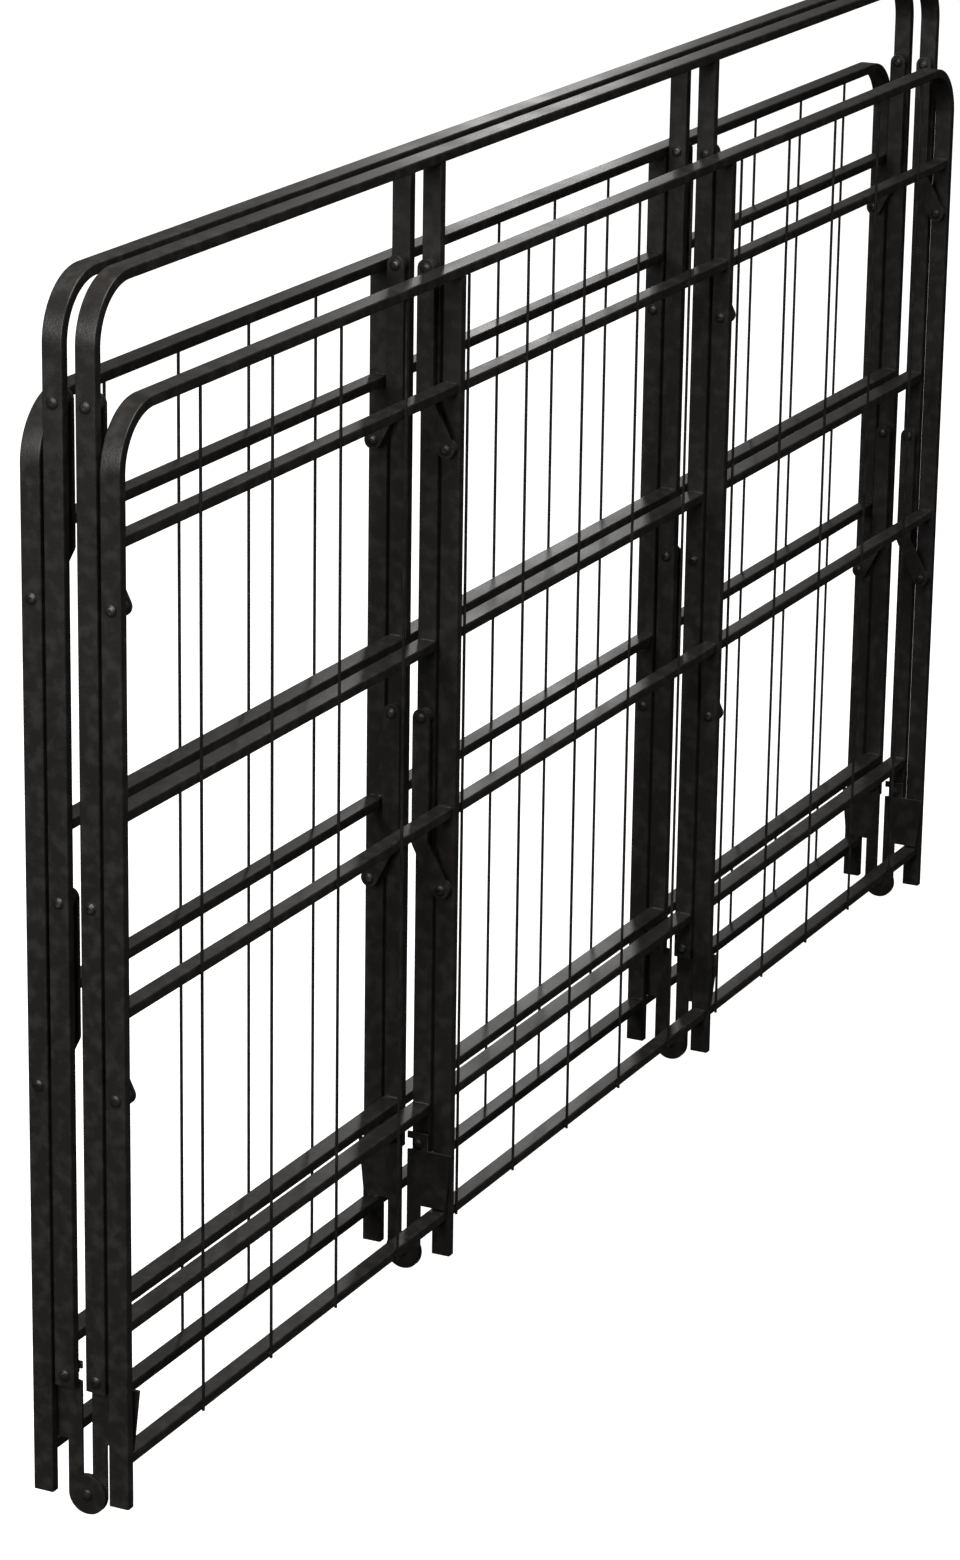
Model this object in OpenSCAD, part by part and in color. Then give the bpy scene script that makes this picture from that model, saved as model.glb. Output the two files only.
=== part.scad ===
// Bi-fold steel bed base, folded flat and standing on its four hinge lobes.
// Two mirrored halves lie back to back. Each half is a deck frame that faces
// outwards, a base frame nested behind it, and two rows of cranked links.
// X runs along the bed's width, Y through the folded pack and Z up.

/* [Deck] */
// Width of the bed across the deck hoops
bed_w = 1930; // [1500:1:2400]
// Length of each half from the fold line to the head or foot end
half_l = 1010; // [900:1:1300]
// Outer radius of the deck hoop's bends
deck_bend_r = 60; // [30:1:100]
// Top face of the lower deck bar above the fold line
deck_bar_low = 50; // [45:1:55]
// Top face of the middle deck bar above the fold line
deck_bar_mid = 474; // [440:1:500]
// Drop from the hoop's top face to the upper deck bar's top face
deck_bar_drop = 113; // [100:1:118]

/* [Base frame] */
// Height of the base hoop's top above the deck hoop's top when folded
base_rise = 106; // [90:1:125]
// Height of the base posts' lower ends above the fold line
base_foot = 108; // [100:1:118]
// Outer radius of the base hoop's bends
base_bend_r = 60; // [30:1:75]
// Top face of the lower base bar above the fold line
base_bar_low = 160; // [158:1:190]
// Top face of the middle base bar above the fold line
base_bar_mid = 640; // [620:1:680]

/* [Tubes and wires] */
// Tube size in the plane of a frame
tube_w = 10; // [8:0.5:14]
// Tube size through a frame
tube_d = 20; // [16:0.5:26]
// Tube wall
tube_wall = 1.2; // [0.8:0.1:2]
// Gap between the nested deck and base frames of one half
nest_gap = 3; // [2:0.5:6]
// Gap between the two halves' base frames
mid_gap = 12; // [8:0.5:20]
// Wire diameter
wire_d = 3; // [2:0.5:5]
// Distance from the second post's right face to the wire beside it
wire_offset = 8; // [5:0.5:15]
// Wire pitches from that wire to the one just beyond the third post
wires_across = 5; // [3:1:8]
// Gap between a wire and the nearest rivet head
wire_gap = 0.6; // [0.5:0.1:3]

/* [Links] */
// Height of a link's base pivot above its deck pivot when folded
link_rise = 173; // [150:1:190]
// Deck pivot of the lower links above the fold line
link_low = 391; // [350:1:410]
// Deck pivot of the upper links above the fold line
link_high = 834; // [800:1:850]
// Thickness of a link
link_t = 4; // [3:0.5:6]
// Width of a link
link_w = 18; // [16:1:20]
// Height over which a link cranks sideways
link_crank = 46; // [40:1:52]
// Length of the bush that holds a link off its tubes
bush_l = 7.5; // [6:0.5:12]
// Radius of that bush
bush_r = 8; // [6:0.5:8]

/* [Hinges] */
// Radius of the rounded lobe at the fold bolt
lobe_r = 19; // [16:1:24]
// Thickness of a hinge plate
plate_t = 3; // [2:0.5:4]
// Gap between a hinge plate and what lies beside it
plate_gap = 0.4; // [0.3:0.1:1]
// Top of a hinge plate at the deck post, above the fold line
plate_top = 112; // [100:1:125]
// Height of the stowing ear above the rest of the plate
ear_h = 18; // [15:1:25]
// How far the plate's upper corner stands beyond the deck face
plate_lip = 3.7; // [0:0.1:6]
// How far the plate's outer edge falls back inside the deck face at its foot
plate_tuck = 2.6; // [0:0.1:5]
// Height of the plate's foot above the lower deck bar
plate_rise = 2; // [1:0.5:4]
// How far the stowing ear covers the base post past its outer face
ear_lip = 1; // [0:0.1:2]
// Distance of the ear's inner edge from the plane between the halves
ear_in = 4; // [3:0.5:5]
// Play of a stowing pin in its notch
notch_play = 1; // [0.5:0.1:2]
// How far the pad under a plate stands back from the plate's top and foot
pad_inset = 2; // [1:0.5:5]

/* [Fasteners] */
// Radius of the pivot rivets, stowing pins and fold bolts
pin_r = 4; // [3:0.25:5]
// Radial running clearance of a pivot
pin_play = 0.05; // [0.02:0.01:0.1]
// Radius of a fastener head
head_r = 5.5; // [5:0.25:7]
// Height of a fastener head
head_h = 2.4; // [1.5:0.1:4]
// Across-corners radius of the head's key socket
socket_r = 2.4; // [1.5:0.1:3]
// Gap between the ends of the two decks when the bed is open
seam = 1; // [0.5:0.1:3]

/* [Hidden] */
$fn = 48;
steel = [0.06, 0.055, 0.05];
zinc = [0.25, 0.25, 0.26];
nylon = [0.04, 0.04, 0.04];
REAR = 1;
FRONT = 0;
// How far a cutting form runs past what it cuts
cut = 1;

// Heights are measured from the fold line, which is one lobe above the ground.
fold_z = lobe_r;
base_in = mid_gap / 2;
base_out = base_in + tube_d;
base_y = -(base_in + base_out) / 2;
deck_in = base_out + nest_gap;
deck_out = deck_in + tube_d;
deck_y = -(deck_in + deck_out) / 2;
base_top = half_l + base_rise;
bay = (bed_w - tube_w) / 3;
post_x = [for (i = [0:3]) -bed_w / 2 + i * bay];
// Links and plates stand on the inner side of the outer posts and on the outer
// side of the inner posts, so the two outer bays hold them all.
post_dir = [1, -1, 1, -1];
link_face = bush_l + link_t;
// The wires run at one even pitch across the bed, set so that they pass both
// middle posts: close beside the second, and clear of the third's links.
link_clear = link_face + head_h + wire_gap + wire_d / 2;
wire_start = post_x[1] + tube_w + wire_offset;
wire_pitch = (bay + link_clear - wire_offset) / wires_across;
wires_left = floor((wire_start - post_x[0] - tube_w - link_clear) / wire_pitch);
wires_right = floor((post_x[3] - link_clear - wire_start) / wire_pitch);
bore_r = pin_r + pin_play;
upper_bar_top = half_l - deck_bar_drop;
wire_top = half_l - tube_w;
wire_foot = deck_bar_low - tube_w;
plate_foot = deck_bar_low + plate_rise;
stow_z = base_foot + tube_w;
// The rear plates are the inner layer beside the posts, the front ones the outer.
pad_inner = plate_gap;
pad_outer = 2 * plate_gap + plate_t;

// Puts a half's pieces in place: the front half is drawn, the rear is its mirror.
module on_half(side) {
    translate([0, 0, fold_z]) mirror([0, side, 0]) children();
}

// Repeats a piece at the posts, mirrored so that +X leads away from the tube's
// side face towards the links.
module at_posts() {
    for (i = [0:3])
        translate([post_x[i] + (post_dir[i] > 0 ? tube_w : 0), 0, 0])
            mirror([post_dir[i] > 0 ? 0 : 1, 0, 0])
                children();
}

// Drills a row of holes through the four posts at height z.
module post_holes(y, z, r) {
    for (x = post_x)
        translate([x - cut, y, z]) rotate([0, 90, 0]) cylinder(h = tube_w + 2 * cut, r = r);
}

// An upright tube between two heights, open at both ends.
module upright(x, y, z0, z1) {
    difference() {
        translate([x, y - tube_d / 2, z0]) cube([tube_w, tube_d, z1 - z0]);
        translate([x + tube_wall, y - tube_d / 2 + tube_wall, z0 - cut])
            cube([tube_w - 2 * tube_wall, tube_d - 2 * tube_wall, z1 - z0 + 2 * cut]);
    }
}

// A bar of three tubes, one in each bay, butted between the posts.
module bay_bar(y_out, y_in, top) {
    for (i = [0:2])
        difference() {
            translate([post_x[i] + tube_w, y_out, top - tube_w])
                cube([bay - tube_w, y_in - y_out, tube_w]);
            translate([post_x[i] + tube_w - cut, y_out + tube_wall, top - tube_w + tube_wall])
                cube([bay - tube_w + 2 * cut, y_in - y_out - 2 * tube_wall,
                    tube_w - 2 * tube_wall]);
        }
}

// A door-shaped outline with its two upper corners rounded, inset on all sides
// but the foot.
module arch(foot, top, r, inset) {
    half = bed_w / 2 - inset;
    crown = top - inset;
    radius = r - inset;
    union() {
        translate([-half, foot]) square([2 * half, crown - radius - foot]);
        translate([-half + radius, foot]) square([2 * (half - radius), crown - foot]);
        for (x = [-half + radius, half - radius])
            translate([x, crown - radius]) circle(radius, $fn = 96);
    }
}

// A bar bent to the arch, between two insets and d deep.
module bent_bar(y, foot, top, r, d, outer, inner) {
    translate([0, y + d / 2, 0]) rotate([90, 0, 0]) linear_extrude(d)
        difference() {
            arch(foot, top, r, outer);
            arch(foot - cut, top, r, inner);
        }
}

// A tube bent to the arch and drilled at its two legs.
module hoop(y, foot, top, r, holes) {
    difference() {
        bent_bar(y, foot, top, r, tube_d, 0, tube_w);
        bent_bar(y, foot - cut, top, r, tube_d - 2 * tube_wall, tube_wall, tube_w - tube_wall);
        for (z = holes) post_holes(y, z, bore_r);
    }
}

module posts(y, foot, top, holes) {
    for (i = [1, 2])
        difference() {
            upright(post_x[i], y, foot, top);
            for (z = holes) post_holes(y, z, bore_r);
        }
}

// A domed head with a key socket, standing on z = 0 and facing up.
module head() {
    difference() {
        intersection() {
            cylinder(h = head_h, r = head_r);
            translate([0, 0, head_h - 2 * head_r]) sphere(r = 2 * head_r, $fn = 64);
        }
        translate([0, 0, head_h / 2]) cylinder(h = head_h, r = socket_r, $fn = 6);
    }
}

// A headed pin along X between two faces.
module headed_pin(y, z, x0, x1) {
    translate([x0, y, z]) rotate([0, 90, 0]) cylinder(h = x1 - x0, r = pin_r);
    translate([x1, y, z]) rotate([0, 90, 0]) head();
    translate([x0, y, z]) rotate([0, -90, 0]) head();
}

module pivot_rivets(y, rise) {
    at_posts()
        for (z = [link_low + rise, link_high + rise])
            headed_pin(y, z, -tube_w - pin_play, link_face + pin_play);
}

module bushes(y, rise) {
    at_posts()
        for (z = [link_low + rise, link_high + rise])
            translate([pin_play, y, z]) rotate([0, 90, 0])
                difference() {
                    cylinder(h = bush_l - 2 * pin_play, r = bush_r);
                    translate([0, 0, -cut]) cylinder(h = bush_l + 2 * cut, r = bore_r);
                }
}

// A flat cranked link: it runs straight down beside the base post, then
// slants out to its pivot on the deck post.
module link(z) {
    r = link_w / 2;
    knee = z + link_crank;
    lean = atan2(base_y - deck_y, link_crank);
    difference() {
        translate([bush_l, 0, 0]) rotate([90, 0, 90]) linear_extrude(link_t)
            union() {
                translate([deck_y, z]) circle(r);
                translate([base_y, z + link_rise]) circle(r);
                translate([base_y - r, knee]) square([link_w, link_rise - link_crank]);
                translate([base_y, knee]) circle(r);
                translate([deck_y, z]) rotate(-lean)
                    translate([-r, 0]) square([link_w, link_crank / cos(lean)]);
            }
        for (p = [[deck_y, z], [base_y, z + link_rise]])
            translate([bush_l - cut, p[0], p[1]]) rotate([0, 90, 0])
                cylinder(h = link_t + 2 * cut, r = bore_r);
    }
}

module links(z) {
    color(steel) at_posts() link(z);
}

// The plate's outline in the Y-Z plane of the front half.
module plate_outline() {
    difference() {
        union() {
            circle(lobe_r);
            polygon([
                [-lobe_r, 0], [-lobe_r, plate_foot], [-(deck_out - plate_tuck), plate_foot],
                [-(deck_out + plate_lip), plate_top], [-(base_out + ear_lip), plate_top],
                [-(base_out + ear_lip), plate_top + ear_h], [-ear_in, plate_top + ear_h],
                [-ear_in, lobe_r], [lobe_r, 0]
            ]);
        }
        // The notch opens towards the other half, so the stowing pin leaves it
        // as the base frame swings out.
        translate([base_y, stow_z]) circle(pin_r + notch_play);
        polygon([
            [base_y, stow_z + pin_r + notch_play], [0, stow_z + pin_r + notch_play],
            [0, stow_z - 2 * pin_r], [base_y, stow_z - pin_r - notch_play]
        ]);
        circle(bore_r);
    }
}

module hinge_plates(off) {
    color(steel) at_posts()
        translate([off, 0, 0]) rotate([90, 0, 90]) linear_extrude(plate_t) plate_outline();
}

// The pad that a hinge plate is welded to, on the deck post's side face.
module hinge_pads(thick) {
    color(steel) at_posts()
        translate([0, -deck_out + plate_tuck, plate_foot + pad_inset])
            cube([thick, tube_d - plate_tuck, plate_top - plate_foot - 2 * pad_inset]);
}

module deck_hoop() {
    color(steel) hoop(deck_y, seam / 2, half_l, deck_bend_r,
        [link_low, link_high]);
}

module deck_posts() {
    color(steel) posts(deck_y, seam / 2, wire_top, [link_low, link_high]);
}

// The deck bars stand back from the deck's face by a wire, which crosses them.
module deck_bar(top) {
    color(steel) bay_bar(-deck_out + wire_d, -deck_in, top);
}

module wires() {
    color(steel)
        for (k = [-wires_left:wires_right])
            translate([wire_start + k * wire_pitch, -deck_out + wire_d / 2, wire_foot])
                cylinder(h = wire_top - wire_foot, d = wire_d, $fn = 24);
}

module base_hoop() {
    color(steel) hoop(base_y, base_foot, base_top, base_bend_r,
        [stow_z, link_low + link_rise, link_high + link_rise]);
}

module base_posts() {
    color(steel) posts(base_y, base_foot, base_top - tube_w,
        [stow_z, link_low + link_rise, link_high + link_rise]);
}

module base_bar(top) {
    color(steel) bay_bar(-base_out, -base_in, top);
}

module stow_pins() {
    color(zinc) at_posts()
        headed_pin(base_y, stow_z, -tube_w - pin_play, pad_outer + plate_t + plate_gap);
}

module fold_bolts() {
    color(zinc) translate([0, 0, fold_z]) at_posts()
        headed_pin(0, 0, pad_inner - pin_play, pad_outer + plate_t + pin_play);
}

on_half(REAR) deck_hoop();  // rear_deck_hoop
on_half(REAR) deck_posts();  // rear_deck_posts
on_half(REAR) deck_bar(upper_bar_top);  // rear_deck_bar_upper
on_half(REAR) deck_bar(deck_bar_mid);  // rear_deck_bar_middle
on_half(REAR) deck_bar(deck_bar_low);  // rear_deck_bar_lower
on_half(REAR) wires();  // rear_wires
on_half(REAR) hinge_plates(pad_inner);  // rear_hinge_plates
on_half(REAR) hinge_pads(pad_inner);  // rear_hinge_pads
on_half(REAR) color(zinc) pivot_rivets(deck_y, 0);  // rear_deck_rivets
on_half(REAR) color(nylon) bushes(deck_y, 0);  // rear_deck_bushes
on_half(REAR) links(link_low);  // rear_lower_links
on_half(REAR) links(link_high);  // rear_upper_links
on_half(REAR) base_hoop();  // rear_base_hoop
on_half(REAR) base_posts();  // rear_base_posts
on_half(REAR) base_bar(base_bar_mid);  // rear_base_bar_middle
on_half(REAR) base_bar(base_bar_low);  // rear_base_bar_lower
on_half(REAR) color(zinc) pivot_rivets(base_y, link_rise);  // rear_base_rivets
on_half(REAR) color(nylon) bushes(base_y, link_rise);  // rear_base_bushes
on_half(REAR) stow_pins();  // rear_stow_pins
fold_bolts();
on_half(FRONT) deck_hoop();  // front_deck_hoop
on_half(FRONT) deck_posts();  // front_deck_posts
on_half(FRONT) deck_bar(upper_bar_top);  // front_deck_bar_upper
on_half(FRONT) deck_bar(deck_bar_mid);  // front_deck_bar_middle
on_half(FRONT) deck_bar(deck_bar_low);  // front_deck_bar_lower
on_half(FRONT) wires();  // front_wires
on_half(FRONT) hinge_plates(pad_outer);  // front_hinge_plates
on_half(FRONT) hinge_pads(pad_outer);  // front_hinge_pads
on_half(FRONT) color(zinc) pivot_rivets(deck_y, 0);  // front_deck_rivets
on_half(FRONT) color(nylon) bushes(deck_y, 0);  // front_deck_bushes
on_half(FRONT) links(link_low);  // front_lower_links
on_half(FRONT) links(link_high);  // front_upper_links
on_half(FRONT) base_hoop();  // front_base_hoop
on_half(FRONT) base_posts();  // front_base_posts
on_half(FRONT) base_bar(base_bar_mid);  // front_base_bar_middle
on_half(FRONT) base_bar(base_bar_low);  // front_base_bar_lower
on_half(FRONT) color(zinc) pivot_rivets(base_y, link_rise);  // front_base_rivets
on_half(FRONT) color(nylon) bushes(base_y, link_rise);  // front_base_bushes
on_half(FRONT) stow_pins();  // front_stow_pins
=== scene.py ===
"""A bi-fold steel bed base, folded flat: its finished look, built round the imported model.

Two mirrored halves stand back to back on their fold line. Each half is a tube deck strung
with wires, a nested base frame and two rows of cranked links. Tubes, wires, links, plates,
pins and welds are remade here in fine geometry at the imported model's own places and sizes.
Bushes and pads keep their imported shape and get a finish. All lengths are in metres.
"""

import logging
import math
from dataclasses import dataclass, field
from enum import Enum

import bmesh
import bpy
from mathutils import Matrix, Vector


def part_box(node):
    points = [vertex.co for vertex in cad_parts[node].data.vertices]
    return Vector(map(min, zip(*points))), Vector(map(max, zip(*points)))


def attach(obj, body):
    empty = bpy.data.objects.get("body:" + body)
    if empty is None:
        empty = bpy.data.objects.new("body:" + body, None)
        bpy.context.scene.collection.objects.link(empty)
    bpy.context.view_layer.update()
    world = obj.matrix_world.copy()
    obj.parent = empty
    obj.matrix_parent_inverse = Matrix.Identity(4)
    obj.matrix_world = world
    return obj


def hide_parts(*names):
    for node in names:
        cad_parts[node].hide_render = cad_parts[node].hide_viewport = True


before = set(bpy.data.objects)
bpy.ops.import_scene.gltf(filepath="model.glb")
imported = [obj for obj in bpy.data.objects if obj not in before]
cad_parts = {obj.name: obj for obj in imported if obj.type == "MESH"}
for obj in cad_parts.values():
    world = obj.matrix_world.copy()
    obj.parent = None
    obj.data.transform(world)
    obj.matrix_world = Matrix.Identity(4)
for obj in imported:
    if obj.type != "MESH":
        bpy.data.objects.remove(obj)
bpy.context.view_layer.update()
LINK_SIDES = (1, -1, 1, -1)
log = logging.getLogger("bed_base")

Outline = list[tuple[float, float]]


class Half(Enum):
    """The two mirrored halves, by the direction in which each one's deck faces."""

    FRONT = -1
    REAR = 1

    @property
    def prefix(self) -> str:
        """The word that starts the names of this half's pieces."""
        return self.name.lower()

    def named(self, part: str) -> str:
        """The name of a part in this half."""
        return f"{self.prefix}_{part}"


class Slot(Enum):
    """The record's material slots."""

    COAT = "black_powder_coat"
    FASTENER = "blackened_steel"
    NYLON = "black_nylon"


@dataclass(frozen=True)
class Stock:
    """Sizes of the bought-in material and of how it is worked."""

    tube_w: float = 0.010
    tube_wall: float = 0.0012
    tube_corner: float = 0.0014
    corner_steps: int = 4
    bend_radius: float = 0.060
    bend_steps: int = 28
    wire_d: float = 0.003
    wire_count: int = 14
    link_t: float = 0.004
    link_w: float = 0.018
    link_crank: float = 0.046
    plate_t: float = 0.003
    plate_gap: float = 0.0004
    broken_edge: float = 0.0005
    pin_r: float = 0.004
    pin_play: float = 0.00005
    head_r: float = 0.0055
    head_h: float = 0.0024
    socket_r: float = 0.0024
    socket_depth: float = 0.0012
    weld_r: float = 0.0014
    weld_margin: float = 0.0015
    spot_r: float = 0.0019
    spot_reach: float = 0.0022


STOCK = Stock()


@dataclass(frozen=True)
class Layout:
    """Where the four uprights stand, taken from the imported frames."""

    lefts: tuple[float, ...]

    @classmethod
    def from_frame(cls) -> "Layout":
        """Reads the uprights' left faces from the hoops' and the posts' boxes."""
        outer_low, outer_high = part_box("front_deck_hoop")
        inner_low, inner_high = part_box("front_deck_posts")
        return cls((outer_low.x, inner_low.x, inner_high.x - STOCK.tube_w, outer_high.x - STOCK.tube_w))

    def side_face(self, index: int) -> float:
        """Gives the side face of an upright that carries its links and its plate.

        Args:
            index: The upright, counted from the left.

        Returns:
            The face's X.
        """
        return self.lefts[index] + (STOCK.tube_w if LINK_SIDES[index] > 0 else 0.0)

    def centred(self, inner: float, outer: float) -> list[float]:
        """Gives the middle of what stands between two distances off every side face.

        Args:
            inner: The nearer distance from the side face.
            outer: The farther distance from the side face.

        Returns:
            One X for each upright.
        """
        middle = (inner + outer) / 2
        return [self.side_face(i) + LINK_SIDES[i] * middle for i in range(len(self.lefts))]

    def bays(self) -> list[tuple[float, float]]:
        """Gives the left and right end of each bay between two uprights."""
        ends = [x + STOCK.tube_w for x in self.lefts[:-1]]
        return list(zip(ends, self.lefts[1:]))


class Graph:
    """Adds and joins nodes in one node tree."""

    def __init__(self, tree: bpy.types.NodeTree) -> None:
        """Takes the tree to work on."""
        self.tree = tree

    def add(self, kind: str, inputs: dict[str, object] | None = None, **settings: object) -> bpy.types.Node:
        """Adds a node.

        Args:
            kind: The node's type.
            inputs: Values, or sockets to join, by the name of the input.
            settings: The node's own properties.

        Returns:
            The new node.
        """
        node = self.tree.nodes.new(kind)
        for name, value in settings.items():
            setattr(node, name, value)
        for name, value in (inputs or {}).items():
            self.feed(node.inputs[name], value)
        return node

    def feed(self, socket: bpy.types.NodeSocket, value: object) -> None:
        """Joins a socket to an output, or sets its value.

        Args:
            socket: The input socket.
            value: An output socket or a plain value.
        """
        if isinstance(value, bpy.types.NodeSocket):
            self.tree.links.new(value, socket)
        else:
            socket.default_value = value

    def math(
        self, operation: str, first: object, second: object = 0.0, clamp: bool = False
    ) -> bpy.types.NodeSocket:
        """Adds a maths node.

        Args:
            operation: What it works out.
            first: The first value or socket.
            second: The second value or socket.
            clamp: Whether the result stays from 0 to 1.

        Returns:
            The result's socket.
        """
        node = self.add("ShaderNodeMath", operation=operation, use_clamp=clamp)
        self.feed(node.inputs[0], first)
        self.feed(node.inputs[1], second)
        return node.outputs[0]

    def spread(
        self, value: bpy.types.NodeSocket, low: float, high: float, start: float, end: float
    ) -> bpy.types.NodeSocket:
        """Stretches the part of a value between two limits over a new range.

        Args:
            value: The socket to read.
            low: The value that gives start.
            high: The value that gives end.
            start: The result at low and below.
            end: The result at high and above.

        Returns:
            The result's socket.
        """
        inputs = {"Value": value, "From Min": low, "From Max": high, "To Min": start, "To Max": end}
        return self.add("ShaderNodeMapRange", inputs, clamp=True).outputs["Result"]

    def blend(self, share: object, first: object, second: object) -> bpy.types.NodeSocket:
        """Mixes two colours.

        Args:
            share: How much of the second colour shows.
            first: The first colour or socket.
            second: The second colour or socket.

        Returns:
            The mixed colour's socket.
        """
        node = self.add("ShaderNodeMix", data_type="RGBA")
        self.feed(node.inputs["Factor"], share)
        self.feed(node.inputs[6], first)
        self.feed(node.inputs[7], second)
        return node.outputs[2]


def opened_group(
    name: str, kind: str, inputs: dict, outputs: dict
) -> tuple[Graph, bpy.types.Node, bpy.types.Node]:
    """Makes a node group with named sockets.

    Args:
        name: The group's name.
        kind: The type of its tree.
        inputs: Socket type and starting value by the input's name.
        outputs: Socket type by the output's name.

    Returns:
        The group's graph, its input node and its output node.
    """
    tree = bpy.data.node_groups.new(name, kind)
    for label, (socket_type, value) in inputs.items():
        socket = tree.interface.new_socket(name=label, in_out="INPUT", socket_type=socket_type)
        if value is not None:
            socket.default_value = value
    for label, socket_type in outputs.items():
        tree.interface.new_socket(name=label, in_out="OUTPUT", socket_type=socket_type)
    graph = Graph(tree)
    return graph, graph.add("NodeGroupInput"), graph.add("NodeGroupOutput")


class SurfaceRelief:
    """The shader group for fine relief: the coat's orange peel with a finer grain on it."""

    def __init__(self) -> None:
        """Builds the group."""
        inputs = {
            "Vector": ("NodeSocketVector", None),
            "Peel Size": ("NodeSocketFloat", 0.0022),
            "Grain Size": ("NodeSocketFloat", 0.0005),
            "Grain Share": ("NodeSocketFloat", 0.3),
        }
        outputs = {"Height": "NodeSocketFloat"}
        graph, start, end = opened_group("surface_relief", "ShaderNodeTree", inputs, outputs)
        peel = self.noise(graph, start.outputs["Vector"], start.outputs["Peel Size"], 1.0)
        grain = self.noise(graph, start.outputs["Vector"], start.outputs["Grain Size"], 2.0)
        fine = graph.math("MULTIPLY", grain, start.outputs["Grain Share"])
        graph.feed(end.inputs["Height"], graph.math("ADD", peel, fine))
        self.tree = graph.tree

    @staticmethod
    def noise(graph: Graph, place: object, size: object, detail: float) -> bpy.types.NodeSocket:
        """Adds noise whose blotches have a given size.

        Args:
            graph: The graph to add to.
            place: The socket that gives the position.
            size: The blotches' size.
            detail: How many finer layers it has.

        Returns:
            The noise's socket.
        """
        inputs = {"Vector": place, "Scale": graph.math("DIVIDE", 1.0, size), "Detail": detail}
        return graph.add("ShaderNodeTexNoise", inputs).outputs["Fac"]


class Handling:
    """The shader group for what use leaves: rubbed edges, faint dust on top and a cloudy sheen."""

    cloud_size = 0.11
    cloud_limits = (0.3, 0.7)
    patch_size = 0.014
    rub_limits = (0.46, 0.66)
    dust_limits = (0.35, 0.7)
    thinnest_dust = 0.35
    upward_limits = (0.5, 0.95)
    dust_dulling = 0.5

    def __init__(self) -> None:
        """Builds the group."""
        inputs = {
            "Vector": ("NodeSocketVector", None),
            "Upward": ("NodeSocketVector", None),
            "Edge": ("NodeSocketFloat", 0.0),
            "Clean": ("NodeSocketColor", (0.03, 0.03, 0.03, 1.0)),
            "Rubbed": ("NodeSocketColor", (0.1, 0.1, 0.1, 1.0)),
            "Dust": ("NodeSocketColor", (0.3, 0.3, 0.3, 1.0)),
            "Rub Share": ("NodeSocketFloat", 0.5),
            "Dust Share": ("NodeSocketFloat", 0.1),
            "Smoothest": ("NodeSocketFloat", 0.3),
            "Roughest": ("NodeSocketFloat", 0.5),
        }
        outputs = {"Color": "NodeSocketColor", "Roughness": "NodeSocketFloat"}
        graph, start, end = opened_group("handling", "ShaderNodeTree", inputs, outputs)
        read = start.outputs
        cloud = SurfaceRelief.noise(graph, read["Vector"], self.cloud_size, 3.0)
        patches = SurfaceRelief.noise(graph, read["Vector"], self.patch_size, 4.0)
        rubbed = graph.math("MULTIPLY", read["Edge"], graph.spread(patches, *self.rub_limits, 0.0, 1.0))
        rub = graph.math("MULTIPLY", rubbed, read["Rub Share"], clamp=True)
        split = graph.add("ShaderNodeSeparateXYZ", {"Vector": read["Upward"]})
        facing_up = graph.spread(split.outputs["Z"], *self.upward_limits, 0.0, 1.0)
        lying = graph.spread(patches, *self.dust_limits, self.thinnest_dust, 1.0)
        settled = graph.math("MULTIPLY", facing_up, lying)
        dust = graph.math("MULTIPLY", settled, read["Dust Share"], clamp=True)
        coloured = graph.blend(dust, graph.blend(rub, read["Clean"], read["Rubbed"]), read["Dust"])
        graph.feed(end.inputs["Color"], coloured)
        least, most = self.cloud_limits
        sheen = graph.add("ShaderNodeMapRange", {"Value": cloud, "From Min": least, "From Max": most})
        graph.feed(sheen.inputs["To Min"], read["Smoothest"])
        graph.feed(sheen.inputs["To Max"], read["Roughest"])
        duller = graph.math("MULTIPLY", dust, self.dust_dulling)
        roughness = graph.math("ADD", sheen.outputs["Result"], duller, clamp=True)
        graph.feed(end.inputs["Roughness"], roughness)
        self.tree = graph.tree


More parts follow.
